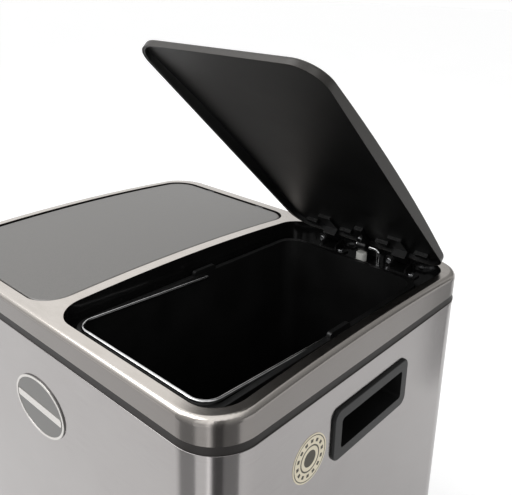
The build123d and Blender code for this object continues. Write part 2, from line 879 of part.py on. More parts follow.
def pedal_plane():
    """Plane of the pedal plate's underside, along the lever's front arm."""
    slope = (lever_front_z - lever_pivot_z) / lever_pivot_y
    tip_z = lever_front_z + lever_thickness / 2 + slope * pedal_reach
    return Plane(
        origin=(lever_x, front_y - pedal_reach, tip_z),
        x_dir=(1, 0, 0),
        z_dir=(0, slope, 1),
    )


def make_pedal_plate():
    """Steel foot plate welded on the lever's front end."""
    reach = pedal_reach - pedal_gap
    with BuildPart() as plate:
        with BuildSketch(pedal_plane()):
            with Locations((0, reach / 2 + pedal_nose)):
                RectangleRounded(pedal_width, reach, pedal_corner)
        extrude(amount=pedal_thickness)
    return plate.part


def make_pedal_tread():
    """Ribbed rubber pad on the foot plate."""
    reach = pedal_reach - pedal_gap - tread_margin
    with BuildPart() as tread:
        with BuildSketch(pedal_plane().offset(pedal_thickness)):
            with Locations((0, (pedal_reach - pedal_gap) / 2 + pedal_nose)):
                RectangleRounded(pedal_width - tread_margin, reach, pedal_corner / 2)
        extrude(amount=tread_thickness)
        with BuildSketch(pedal_plane().offset(pedal_thickness + tread_thickness)):
            with Locations((0, (pedal_reach - pedal_gap) / 2 + pedal_nose)):
                with GridLocations(0, tread_pitch, 1, 4):
                    Rectangle(pedal_width - 3 * tread_margin, tread_pitch / 2.5)
        extrude(amount=-tread_thickness / 2, mode=Mode.SUBTRACT)
    return tread.part


def make_lever_pin():
    """Pivot pin of the lever, held in the two cheeks under the floor."""
    half = lever_width / 2 + lever_gap + plinth_wall
    with BuildPart() as pin:
        with BuildSketch(Plane.YZ.offset(lever_x - half)):
            with Locations((pivot_y, lever_pivot_z)):
                Circle(lever_pin)
        extrude(amount=2 * half)
    return pin.part


# --- inner bucket ----------------------------------------------------------
def make_bucket():
    """Tapered plastic bucket with a rolled flange and two raised bail ears."""
    wall_x = bucket_width - 2 * bucket_flange
    wall_y = bucket_depth - 2 * bucket_flange
    height = bucket_top - bucket_bottom
    inner_x = wall_x - 2 * bucket_wall
    ear = bucket_flange + bucket_wall - 2 * ear_inset
    lean = -degrees(atan2(bucket_taper / 2, height))
    with BuildPart() as bucket:
        with BuildSketch(Plane((bucket_x, bucket_y, bucket_bottom))):
            RectangleRounded(
                wall_x - bucket_taper,
                wall_y - bucket_taper,
                bucket_radius - bucket_taper / 2,
            )
        extrude(amount=height, taper=lean)
        fillet(bucket.faces().sort_by(Axis.Z)[0].edges(), bucket_foot_radius)
        with BuildSketch(Plane((bucket_x, bucket_y, bucket_bottom + bucket_floor))):
            RectangleRounded(
                wall_x - bucket_taper - 2 * bucket_wall,
                wall_y - bucket_taper - 2 * bucket_wall,
                bucket_radius - bucket_taper / 2 - bucket_wall,
            )
        extrude(amount=height, taper=lean, mode=Mode.SUBTRACT)
        with BuildSketch(Plane.XY.offset(bucket_top)):
            add(bucket_plan(bucket_top, 0))
            with Locations((bucket_x, bucket_y)):
                RectangleRounded(
                    inner_x + bucket_wall,
                    wall_y - bucket_wall,
                    bucket_radius - bucket_wall / 2,
                    mode=Mode.SUBTRACT,
                )
        extrude(amount=-bucket_bead)
        for hand in (-1, 1):
            ear_face = bucket_x + hand * (inner_x / 2 + ear_inset)
            with BuildSketch(Plane.YZ.offset(ear_face)):
                with Locations((bail_y, bucket_top - bail_pivot_drop)):
                    RectangleRounded(
                        ear_length,
                        2 * (ear_rise + bail_pivot_drop),
                        ear_corner,
                    )
            extrude(amount=hand * ear)
            with BuildSketch(Plane.YZ.offset(ear_face)):
                with Locations((bail_y, bucket_top - bail_pivot_drop)):
                    Circle(bail_tip_radius + bail_fit)
            extrude(amount=2 * ear, both=True, mode=Mode.SUBTRACT)
    return bucket.part


def make_bail():
    """Wire handle folded forward, its front bar lying over the bucket's flange."""
    leg_x = bucket_width / 2 - bucket_flange - bucket_wall - bail_gap - bail_radius
    bar_y = bucket_y - bucket_depth / 2 + bail_bar_inset
    reach = bail_y - bar_y
    lift = bail_pivot_drop + bail_bar_rise
    pivot_z = bucket_top - bail_pivot_drop
    tilted = Plane(
        origin=(bucket_x, bail_y, bucket_top - bail_pivot_drop),
        x_dir=(1, 0, 0),
        z_dir=(0, lift, reach),
    )
    length = sqrt(reach**2 + lift**2)
    with BuildPart() as bail:
        with BuildLine(tilted) as path:
            FilletPolyline(
                (-leg_x, 0),
                (-leg_x, -length),
                (leg_x, -length),
                (leg_x, 0),
                radius=bail_corner,
            )
        with BuildSketch(Plane(path.line @ 0, z_dir=path.line % 0)):
            Circle(bail_radius)
        sweep(path=path.line)
        for hand in (-1, 1):
            with BuildSketch(Plane.YZ.offset(bucket_x + hand * leg_x)):
                with Locations((bail_y, bucket_top - bail_pivot_drop)):
                    Circle(bail_tip_radius)
            extrude(amount=hand * bail_tip)
        with Locations(*[(bucket_x + hand * leg_x, bail_y, pivot_z) for hand in (-1, 1)]):
            Sphere(bail_radius)
    return bail.part


# --- the whole bin ---------------------------------------------------------
def save(piece, label):
    """Name a piece and write its STEP file."""
    piece.label = label
    export_step(piece, f"parts/{label}.step")


def save_pair(piece, label):
    """Write a piece for the right-hand compartment and its mirror for the left."""
    save(piece, f"right_{label}")
    save(piece.mirror(Plane.YZ), f"left_{label}")


def save_moving(piece, label, opened):
    """Write the right-hand piece as it stands with its lid open, the left one shut."""
    save(opened(piece), f"right_{label}")
    save(piece.mirror(Plane.YZ), f"left_{label}")


def with_lid(piece):
    """Turn a lid piece to the resting opening."""
    return piece.rotate(Axis((0, axis_y, axis_z), (-1, 0, 0)), lid_rest)


def with_rod(piece):
    """Raise the rod for the resting opening."""
    return piece.translate((0, 0, rod_rise_per_degree * lid_rest))


def with_plunger(piece):
    """Raise the plunger for the resting opening."""
    return piece.translate((0, 0, plunger_rise_per_degree * lid_rest))


def with_pedal(piece):
    """Tip the lever for the resting opening."""
    return piece.rotate(Axis((0, pivot_y, lever_pivot_z), (1, 0, 0)), lever_per_lid * lid_rest)


save(make_base_tray(), "base_tray")
save(make_rubber_feet(), "rubber_feet")
save(make_foot_screws(), "foot_screws")
save(make_body_shell(), "body_shell")
save(make_neck_band(), "neck_band")
save(make_top_frame(), "top_frame")
save(make_steel_rim(), "steel_rim")
save(make_badge(), "badge")
save(make_round_label(), "round_label")
save_pair(make_grip(), "grip")
save_pair(make_hinge_brackets(), "hinge_brackets")
save_pair(make_hinge_pins(), "hinge_pins")
save_pair(make_hinge_screws(), "hinge_screws")
save_pair(make_damper_body(), "damper_body")
save_pair(make_rod_guide(), "rod_guide")
save_pair(make_lever_pin(), "lever_pin")
save_pair(make_bucket(), "bucket")
save_pair(make_bail(), "bail")
save_moving(make_lid_shell(), "lid_shell", with_lid)
save_moving(make_lid_liner(), "lid_liner", with_lid)
save_moving(make_lid_lugs(), "lid_lugs", with_lid)
save_moving(make_rod_clip(), "rod_clip", with_lid)
save_moving(make_lid_screws(), "lid_screws", with_lid)
save_moving(make_lift_rod(), "lift_rod", with_rod)
save_moving(make_damper_plunger(), "damper_plunger", with_plunger)
save_moving(make_pedal_lever(), "pedal_lever", with_pedal)
save_moving(make_pedal_plate(), "pedal_plate", with_pedal)
save_moving(make_pedal_tread(), "pedal_tread", with_pedal)
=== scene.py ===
"""Looks of a two-compartment pedal bin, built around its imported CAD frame.

Every CAD node keeps its shape and gets a finish made of nodes. The badge is
modelled again here with its border and bar. One lid stands open, as in the CAD
rest pose, on a plain pale floor in soft studio light.
"""

import logging
import math
from dataclasses import dataclass, field
from enum import Enum, IntEnum

import bmesh
import bpy
from mathutils import Matrix, Vector


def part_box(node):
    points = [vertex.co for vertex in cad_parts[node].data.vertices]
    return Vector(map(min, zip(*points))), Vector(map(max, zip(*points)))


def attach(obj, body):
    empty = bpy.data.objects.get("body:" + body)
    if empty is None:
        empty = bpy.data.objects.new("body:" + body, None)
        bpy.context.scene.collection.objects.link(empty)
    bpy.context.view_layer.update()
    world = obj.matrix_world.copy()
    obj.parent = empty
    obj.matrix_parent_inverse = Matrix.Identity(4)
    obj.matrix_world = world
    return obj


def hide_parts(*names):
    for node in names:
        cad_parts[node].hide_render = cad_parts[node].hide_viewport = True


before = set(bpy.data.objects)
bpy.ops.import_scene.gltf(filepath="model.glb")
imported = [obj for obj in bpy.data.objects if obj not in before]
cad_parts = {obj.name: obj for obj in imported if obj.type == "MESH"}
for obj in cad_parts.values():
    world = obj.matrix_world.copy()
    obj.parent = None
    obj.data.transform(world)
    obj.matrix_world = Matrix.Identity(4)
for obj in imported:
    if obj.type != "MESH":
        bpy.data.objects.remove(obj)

LOG = logging.getLogger("pedal_bin")
MM = 0.001
CLOSE = 1e-6  # metres: points nearer than this are one point
DEPTH = 0.33  # metres from the front wall to the back wall
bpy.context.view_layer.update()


class Side(Enum):
    """The two compartments, by the sign of their X."""

    RIGHT = 1
    LEFT = -1

    @property
    def word(self) -> str:
        """Prefix of the side's CAD nodes."""
        return self.name.lower()


class Grain(Enum):
    """Direction in which a sheet was brushed, as pattern stretch along X, Y and Z."""

    AROUND = (0.02, 0.02, 1.0)
    NONE = (1.0, 1.0, 1.0)


class BadgeSlot(IntEnum):
    """Material slots of the badge's plate."""

    BORDER = 0
    FACE = 1


def linear(code: str) -> tuple[float, float, float, float]:
    """Turn an sRGB hex colour into linear values.

    Args:
        code: Colour such as "#b0abaa".

    Returns:
        Red, green, blue and alpha, linear.
    """
    parts = [int(code[i : i + 2], 16) / 255 for i in (1, 3, 5)]
    curve = [c / 12.92 if c <= 0.04045 else ((c + 0.055) / 1.055) ** 2.4 for c in parts]
    return (curve[0], curve[1], curve[2], 1.0)


def per_metre(spacing_mm: float) -> float:
    """Noise scale that gives features of a real size.

    Args:
        spacing_mm: Size of one feature in millimetres.

    Returns:
        Features per metre, which is the scale on Object coordinates.
    """
    return 1.0 / (spacing_mm * MM)


def add_node(
    tree: bpy.types.NodeTree,
    kind: str,
    settings: dict[str, object] | None = None,
    values: dict[str | int, object] | None = None,
    links: dict[str | int, bpy.types.NodeSocket] | None = None,
) -> bpy.types.Node:
    """Add one node with its settings, socket values and incoming links.

    Args:
        tree: Node tree that takes the node.
        kind: Blender's name of the node type.
        settings: Attributes of the node itself.
        values: Default values by input socket.
        links: Sockets to plug in, by input socket.

    Returns:
        The new node.
    """
    node = tree.nodes.new(kind)
    for key, value in (settings or {}).items():
        setattr(node, key, value)
    for key, value in (values or {}).items():
        node.inputs[key].default_value = value
    for key, socket in (links or {}).items():
        tree.links.new(socket, node.inputs[key])
    return node


def start_material(
    name: str,
) -> tuple[bpy.types.Material, bpy.types.NodeTree, bpy.types.Node]:
    """Make an empty node material with a Principled shader.

    Args:
        name: Name of the material.

    Returns:
        The material, its tree and its Principled node.
    """
    material = bpy.data.materials.new(name)
    material.use_nodes = True
    tree = material.node_tree
    tree.nodes.clear()
    shader = add_node(tree, "ShaderNodeBsdfPrincipled")
    add_node(tree, "ShaderNodeOutputMaterial", links={"Surface": shader.outputs[0]})
    return material, tree, shader


def blend_colours(
    tree: bpy.types.NodeTree,
    factor: bpy.types.NodeSocket,
    dark: str,
    light: str,
    low: float,
    high: float,
) -> bpy.types.NodeSocket:
    """Ramp a grey value between two colours.

    Args:
        tree: Node tree that takes the ramp.
        factor: Value that drives the ramp.
        dark: sRGB colour at the low end.
        light: sRGB colour at the high end.
        low: Factor at which the dark colour ends.
        high: Factor at which the light colour starts.

    Returns:
        The ramp's colour socket.
    """
    ramp = add_node(tree, "ShaderNodeValToRGB", links={"Fac": factor})
    ramp.color_ramp.elements[0].position = low
    ramp.color_ramp.elements[0].color = linear(dark)
    ramp.color_ramp.elements[1].position = high
    ramp.color_ramp.elements[1].color = linear(light)
    return ramp.outputs["Color"]


@dataclass(frozen=True)
class BrushedStainless:
    """Stainless sheet, brushed with a belt: fine lines that stretch every highlight."""

    name: str
    dark: str
    light: str
    roughness: float
    grain: Grain
    line_mm: float = 0.5  # real lines are finer; drawn as coarse as they need to show
    depth: float = 0.03
    upright_painted_shade: str = "#ffffff"  # painted shade: multiplies the colour where the sheet stands upright
    smudge_mm: float = 70.0
    smudge_share: float = 0.3  # of the tone; the brushed lines make the rest
    waver: tuple[float, float] = (0.85, 1.15)  # least and most roughness, as shares of it

    def make(self) -> bpy.types.Material:
        """Build the material.

        Returns:
            A metal whose colour and roughness waver along the brushing, with painted shade on
            upright faces.
        """
        material, tree, shader = start_material(self.name)
        place = add_node(tree, "ShaderNodeTexCoord").outputs["Object"]
        stretch = add_node(
            tree, "ShaderNodeMapping", values={"Scale": self.grain.value}, links={"Vector": place}
        ).outputs[0]
        lines = add_node(
            tree,
            "ShaderNodeTexNoise",
            values={"Scale": per_metre(self.line_mm), "Detail": 3.0, "Roughness": 0.6},
            links={"Vector": stretch},
        ).outputs[0]
        smudges = add_node(
            tree,
            "ShaderNodeTexNoise",
            values={"Scale": per_metre(self.smudge_mm), "Detail": 2.0},
            links={"Vector": place},
        ).outputs[0]
        clouding = add_node(
            tree,
            "ShaderNodeMath",
            settings={"operation": "MULTIPLY"},
            values={1: self.smudge_share},
            links={0: smudges},
        ).outputs[0]
        worn = add_node(
            tree,
            "ShaderNodeMath",
            settings={"operation": "MULTIPLY_ADD"},
            values={1: 1.0 - self.smudge_share},
            links={0: lines, 2: clouding},
        ).outputs[0]
        least, most = (self.roughness * share for share in self.waver)
        rough = add_node(
            tree,
            "ShaderNodeMapRange",
            values={"To Min": least, "To Max": most},
            links={"Value": worn},
        ).outputs[0]
        bump = add_node(
            tree,
            "ShaderNodeBump",
            values={"Strength": self.depth, "Distance": 0.02 * MM},
            links={"Height": lines},
        ).outputs[0]
        # painted shade: faces that stand upright take the darker tint colour
        normal = add_node(tree, "ShaderNodeNewGeometry").outputs["Normal"]
        facing = add_node(tree, "ShaderNodeSeparateXYZ", links={"Vector": normal}).outputs["Z"]
        painted_shade_ramp = blend_colours(tree, facing, self.upright_painted_shade, "#ffffff", 0.1, 0.85)
        sheet = blend_colours(tree, worn, self.dark, self.light, 0.3, 0.7)
        painted_shade_colour = add_node(
            tree,
            "ShaderNodeMix",
            settings={"data_type": "RGBA", "blend_type": "MULTIPLY"},
            values={0: 1.0},
            links={6: sheet, 7: painted_shade_ramp},
        ).outputs[2]
        shader.inputs["Metallic"].default_value = 1.0
        tree.links.new(painted_shade_colour, shader.inputs["Base Color"])
        tree.links.new(rough, shader.inputs["Roughness"])
        tree.links.new(bump, shader.inputs["Normal"])
        return material


@dataclass(frozen=True)
class MouldedPlastic:
    """Injection-moulded plastic with a fine spark-eroded grain that softens highlights."""

    name: str
    dark: str
    light: str
    roughness: float
    grain_mm: float = 0.9
    depth: float = 0.12
    ior: float = 1.5
    sheen: float = 0.5  # strength of the surface reflection; coarse grain mirrors less
    marks_mm: float = 45.0
    waver: tuple[float, float] = (0.85, 1.2)  # least and most roughness, as shares of it

    def make(self) -> bpy.types.Material:
        """Build the material.

        Returns:
            A plastic with a pebbled bump and faint handling marks.
        """
        material, tree, shader = start_material(self.name)
        place = add_node(tree, "ShaderNodeTexCoord").outputs["Object"]
        grain = add_node(
            tree,
            "ShaderNodeTexVoronoi",
            values={"Scale": per_metre(self.grain_mm)},
            links={"Vector": place},
        ).outputs["Distance"]
        marks = add_node(
            tree,
            "ShaderNodeTexNoise",
            values={"Scale": per_metre(self.marks_mm), "Detail": 4.0, "Roughness": 0.55},
            links={"Vector": place},
        ).outputs[0]
        least, most = (self.roughness * share for share in self.waver)
        rough = add_node(
            tree,
            "ShaderNodeMapRange",
            values={"To Min": least, "To Max": most},
            links={"Value": marks},
        ).outputs[0]
        bump = add_node(
            tree,
            "ShaderNodeBump",
            values={"Strength": self.depth, "Distance": 0.05 * MM},
            links={"Height": grain},
        ).outputs[0]
        shader.inputs["IOR"].default_value = self.ior
        shader.inputs["Specular IOR Level"].default_value = self.sheen
        colour = blend_colours(tree, marks, self.dark, self.light, 0.35, 0.65)
        tree.links.new(colour, shader.inputs["Base Color"])
        tree.links.new(rough, shader.inputs["Roughness"])
        tree.links.new(bump, shader.inputs["Normal"])
        return material


@dataclass(frozen=True)
class SpeckledCoat:
    """Metallic powder coat: mid-grey paint with fine flakes that glint at the edges."""

    name: str
    dark: str
    light: str
    roughness: float
    metallic: float
    flake_mm: float = 0.8
    depth: float = 0.25
    lip: str = "#ffffff"  # painted shade: multiplies the colour where the sheet turns down from its face
    up: Vector = field(default_factory=lambda: Vector((0, 0, 1)))  # the way the face looks
    waver: tuple[float, float] = (0.8, 1.2)  # least and most roughness, as shares of it

    def make(self) -> bpy.types.Material:
        """Build the material.

        Returns:
            A coat whose flakes change its colour, gloss and height, with painted shade where it
            turns down from its face.
        """
        material, tree, shader = start_material(self.name)
        place = add_node(tree, "ShaderNodeTexCoord").outputs["Object"]
        flakes = add_node(
            tree,
            "ShaderNodeTexVoronoi",
            values={"Scale": per_metre(self.flake_mm)},
            links={"Vector": place},
        )
        tone = add_node(
            tree, "ShaderNodeSeparateColor", links={"Color": flakes.outputs["Color"]}
        ).outputs[0]
        least, most = (self.roughness * share for share in self.waver)
        rough = add_node(
            tree,
            "ShaderNodeMapRange",
            values={"To Min": least, "To Max": most},
            links={"Value": tone},
        ).outputs[0]
        bump = add_node(
            tree,
            "ShaderNodeBump",
            values={"Strength": self.depth, "Distance": 0.05 * MM},
            links={"Height": flakes.outputs["Distance"]},
        ).outputs[0]
        # painted shade: faces turned away from the face's way take the darker lip colour
        normal = add_node(tree, "ShaderNodeNewGeometry").outputs["Normal"]
        facing = add_node(
            tree,
            "ShaderNodeVectorMath",
            settings={"operation": "DOT_PRODUCT"},
            values={1: tuple(self.up)},
            links={0: normal},
        ).outputs["Value"]
        painted_shade_ramp = blend_colours(tree, facing, self.lip, "#ffffff", 0.3, 0.9)
        coat = blend_colours(tree, tone, self.dark, self.light, 0.1, 0.9)
        painted_shade_colour = add_node(
            tree,
            "ShaderNodeMix",
            settings={"data_type": "RGBA", "blend_type": "MULTIPLY"},
            values={0: 1.0},
            links={6: coat, 7: painted_shade_ramp},
        ).outputs[2]
        shader.inputs["Metallic"].default_value = self.metallic
        tree.links.new(painted_shade_colour, shader.inputs["Base Color"])
        tree.links.new(rough, shader.inputs["Roughness"])
        tree.links.new(bump, shader.inputs["Normal"])
        return material


@dataclass(frozen=True)
class PlatedSteel:
    """Chromed or zinc-plated steel: a bright skin, clouded a little by its plating bath."""

    name: str
    colour: str
    clouded: str
    roughness: float
    cloud_mm: float = 6.0
    waver: tuple[float, float] = (0.7, 1.5)  # least and most roughness, as shares of it

    def make(self) -> bpy.types.Material:
        """Build the material.

        Returns:
            A bright metal with a cloudy roughness.
        """
        material, tree, shader = start_material(self.name)
        place = add_node(tree, "ShaderNodeTexCoord").outputs["Object"]
        clouds = add_node(
            tree,
            "ShaderNodeTexNoise",
            values={"Scale": per_metre(self.cloud_mm), "Detail": 3.0},
            links={"Vector": place},
        ).outputs[0]
        least, most = (self.roughness * share for share in self.waver)
        rough = add_node(
            tree,
            "ShaderNodeMapRange",
            values={"To Min": least, "To Max": most},
            links={"Value": clouds},
        ).outputs[0]
        shader.inputs["Metallic"].default_value = 1.0
        colour = blend_colours(tree, clouds, self.clouded, self.colour, 0.3, 0.6)
        tree.links.new(colour, shader.inputs["Base Color"])
        tree.links.new(rough, shader.inputs["Roughness"])
        return material


@dataclass(frozen=True)
class PrintedRings:
    """Paper sticker: a cream disc printed with dark rings and short marks, no lettering."""

    name: str
    centre: Vector
    radius_mm: float
    paper: str = "#d8cfb8"
    ink: str = "#3c3628"
    roughness: float = 0.45
    # each ring starts at this share of the radius; 1 leaves the paper bare, 0 is ink
    rings: tuple[tuple[float, int], ...] = (
        (0.0, 0), (0.34, 1), (0.5, 0), (0.56, 1), (0.9, 0), (0.94, 1)
    )
    mark_count: float = 14.0
    mark_band: tuple[float, float] = (0.66, 0.8)  # where the short marks stand, by radius
    mark_gap: float = 0.1  # the larger, the thinner each mark

    def make(self) -> bpy.types.Material:
        """Build the material.

        Returns:
            A matt print whose rings are measured from the disc's centre.
        """
        material, tree, shader = start_material(self.name)
        place = add_node(tree, "ShaderNodeTexCoord").outputs["Object"]
        scale = per_metre(self.radius_mm)
        centred = add_node(
            tree,
            "ShaderNodeMapping",
            values={"Location": tuple(-self.centre * scale), "Scale": (scale, scale, scale)},
            links={"Vector": place},
        ).outputs[0]
        split = add_node(tree, "ShaderNodeSeparateXYZ", links={"Vector": centred}).outputs
        flat = add_node(
            tree, "ShaderNodeCombineXYZ", links={"X": split["Y"], "Y": split["Z"]}
        ).outputs[0]
        out = add_node(
            tree, "ShaderNodeVectorMath", settings={"operation": "LENGTH"}, links={0: flat}
        ).outputs["Value"]
        ring = add_node(tree, "ShaderNodeValToRGB", links={"Fac": out})
        ring.color_ramp.interpolation = "CONSTANT"
        while len(ring.color_ramp.elements) < len(self.rings):
            ring.color_ramp.elements.new(0.5)
        for element, (position, bare) in zip(ring.color_ramp.elements, self.rings):
            element.position = position
            element.color = (bare, bare, bare, 1.0)
        turn = add_node(
            tree,
            "ShaderNodeMath",
            settings={"operation": "ARCTAN2"},
            links={0: split["Z"], 1: split["Y"]},
        ).outputs[0]
        turns = add_node(
            tree,
            "ShaderNodeMath",
            settings={"operation": "MULTIPLY"},
            values={1: self.mark_count},
            links={0: turn},
        ).outputs[0]
        beat = add_node(
            tree, "ShaderNodeMath", settings={"operation": "SINE"}, links={0: turns}
        ).outputs[0]
        mark = add_node(
            tree,
            "ShaderNodeMath",
            settings={"operation": "GREATER_THAN"},
            values={1: self.mark_gap},
            links={0: beat},
        ).outputs[0]
        band = [
            add_node(
                tree,
                "ShaderNodeMath",
                settings={"operation": word},
                values={1: edge},
                links={0: out},
            ).outputs[0]
            for word, edge in zip(("GREATER_THAN", "LESS_THAN"), self.mark_band)
        ]
        inside = add_node(
            tree,
            "ShaderNodeMath",
            settings={"operation": "MULTIPLY"},
            links={0: band[0], 1: band[1]},
        ).outputs[0]
        printed = add_node(
            tree,
            "ShaderNodeMath",
            settings={"operation": "MULTIPLY"},
            links={0: inside, 1: mark},
        ).outputs[0]
        clear = add_node(
            tree,
            "ShaderNodeMath",
            settings={"operation": "SUBTRACT", "use_clamp": True},
            links={0: ring.outputs["Color"], 1: printed},
        ).outputs[0]
        colour = blend_colours(tree, clear, self.ink, self.paper, 0.0, 1.0)
        tree.links.new(colour, shader.inputs["Base Color"])
        shader.inputs["Roughness"].default_value = self.roughness
        return material


def dress(material: bpy.types.Material, *nodes: str) -> None:
    """Give CAD nodes one finish through their material slots.

    Args:
        material: Finish to assign.
        nodes: Names of the CAD nodes.
    """
    for name in nodes:
        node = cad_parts[name]
        if not node.material_slots:
            node.data.materials.append(material)
        for place in node.material_slots:
            place.material = material
        LOG.info("%s is finished in %s", name, material.name)


def both(word: str) -> tuple[str, str]:
    """Names of a piece's right-hand and left-hand nodes."""
    return f"right_{word}", f"left_{word}"


def finish_mesh(
    shape: bmesh.types.BMesh, name: str, smooth_angle: float = 30.0
) -> bpy.types.Object:
    """Turn a finished bmesh into an object at the origin.

    Args:
        shape: Mesh with its place in its vertices; it is freed.
        name: Name of the object and its mesh.
        smooth_angle: Edges flatter than this many degrees are shaded smooth.

    Returns:
        The linked object.
    """
    bmesh.ops.recalc_face_normals(shape, faces=shape.faces)
    for face in shape.faces:
        face.smooth = True
    for edge in shape.edges:
        if len(edge.link_faces) == 2:
            edge.smooth = edge.calc_face_angle() < math.radians(smooth_angle)
    mesh = bpy.data.meshes.new(name)
    shape.to_mesh(mesh)
    shape.free()
    piece = bpy.data.objects.new(name, mesh)
    bpy.context.scene.collection.objects.link(piece)
    return piece


@dataclass
class SteelBody:
    """Wrapped steel sheet, its rolled bead and the plastic band above it."""

    sheet: BrushedStainless = BrushedStainless(
        # a belt-brushed wrap: the lines run round the body and smear reflections upright
        "brushed_stainless_body", "#a29e9d", "#adaaa9", 0.17, Grain.AROUND
    )
    band: MouldedPlastic = MouldedPlastic(
        # satin ABS ring, dark grey between two bright edges
        "moulded_grey_abs_band", "#252322", "#2f2c2b", 0.42, sheen=0.2
    )

    def build(self) -> None:
        """Dress the shell and the neck band."""
        dress(self.sheet.make(), "body_shell")
        dress(self.band.make(), "neck_band")


@dataclass
class SteelRim:
    """Pressed rim sheet round both openings and the black frame under it."""

    sheet: BrushedStainless = BrushedStainless(
        # pressed, then brushed across: painted light makes it paler than the body because it faces
        # the light, and painted shade darkens its upright skirt
        "brushed_stainless_rim", "#cbc5be", "#d6d0ca", 0.2, Grain.AROUND, upright_painted_shade="#a6a6a8"
    )
    frame_plastic: MouldedPlastic = MouldedPlastic(
        # black ABS, semi-gloss on the wells' upright walls
        "moulded_black_abs_frame", "#0d0d0d", "#141414", 0.14, 1.2, 0.03
    )

    def build(self) -> None:
        """Dress the rim and the frame."""
        dress(self.sheet.make(), "steel_rim")
        dress(self.frame_plastic.make(), "top_frame")


@dataclass
class Lids:
    """Coated lid skins, black liners, hinge lugs and their hardware."""

    lid_rest: float = 43.1  # degrees that the right lid stands open
    liner: MouldedPlastic = MouldedPlastic(
        # black polypropylene dish with a matt moulded grain
        "moulded_black_pp_liner", "#0d0d0d", "#141414", 0.4, 0.9, 0.1
    )
    forged: MouldedPlastic = MouldedPlastic(
        # e-coated steel: thin black paint, a little glossier than the liner
        "e_coated_black_steel", "#0c0c0c", "#151515", 0.33, 1.5, 0.05
    )
    plating: PlatedSteel = PlatedSteel(
        # bright zinc on screws and pins
        "zinc_plated_steel", "#cfd0d2", "#a9abae", 0.2
    )

    def build(self) -> None:
        """Dress both lids and the hinge hardware."""
        open_angle = math.radians(self.lid_rest)
        for side in Side:
            tilt = open_angle if side is Side.RIGHT else 0.0
            # powder coat with aluminium flakes: a soft grey sheen, speckled, with painted shade
            # darkening the lip
            coat = SpeckledCoat(
                f"powder_coated_grey_{side.word}_lid",
                "#737270",
                "#7d7b79",
                0.36,
                0.5,
                depth=0.12,
                lip="#8b8987",
                up=Vector((0.0, math.sin(tilt), math.cos(tilt))),
            )
            dress(coat.make(), f"{side.word}_lid_shell")
        dress(self.liner.make(), *both("lid_liner"))
        dress(self.forged.make(), *both("lid_lugs"), *both("rod_clip"), *both("hinge_brackets"))
        plated = self.plating.make()
        dress(plated, *both("lid_screws"), *both("hinge_screws"), *both("hinge_pins"))
        dress(plated, *both("lever_pin"), "foot_screws")


@dataclass
class LiftGear:
    """Rods, dampers, guides, levers and pedals."""

    chrome: PlatedSteel = PlatedSteel(
        # drawn wire under bright chrome
        "chromed_steel_rod", "#dedede", "#b8b8b8", 0.12
    )
    nylon: MouldedPlastic = MouldedPlastic(
        # natural nylon: milky white, waxy gloss
        "moulded_white_nylon", "#d3d3cd", "#e3e3de", 0.35, 1.5, 0.04, 1.53
    )
    cylinder: MouldedPlastic = MouldedPlastic(
        # black ABS cylinder
        "moulded_black_abs_cylinder", "#0d0d0d", "#141414", 0.35
    )
    lever: SpeckledCoat = SpeckledCoat(
        # black powder coat on the flat bar, with a fine orange-peel
        "powder_coated_black_lever", "#101010", "#1b1b1b", 0.5, 0.0, 1.4, 0.2
    )
    tread: MouldedPlastic = MouldedPlastic(
        # moulded rubber: dull black, soft edges
        "moulded_black_rubber", "#141414", "#1e1e1e", 0.8, 1.1, 0.3, 1.52
    )

    def build(self) -> None:
        """Dress the mechanism and the feet."""
        dress(self.chrome.make(), *both("lift_rod"))
        dress(self.nylon.make(), *both("damper_plunger"), *both("rod_guide"))
        dress(self.cylinder.make(), *both("damper_body"))
        dress(self.lever.make(), *both("pedal_lever"), *both("pedal_plate"))
        dress(self.tread.make(), *both("pedal_tread"), "rubber_feet")


@dataclass
class InnerBuckets:
    """Lift-out buckets and their wire bails."""

    plastic: MouldedPlastic = MouldedPlastic(
        # black polypropylene, faintly pebbled
        "moulded_black_pp_bucket", "#090909", "#111111", 0.4, 1.0, 0.1
    )
    wire: PlatedSteel = PlatedSteel(
        # chromed spring wire
        "chromed_bail_wire", "#e2e2e2", "#c2c2c2", 0.14
    )

    def build(self) -> None:
        """Dress both buckets and bails."""
        dress(self.plastic.make(), *both("bucket"))
        dress(self.wire.make(), *both("bail"))


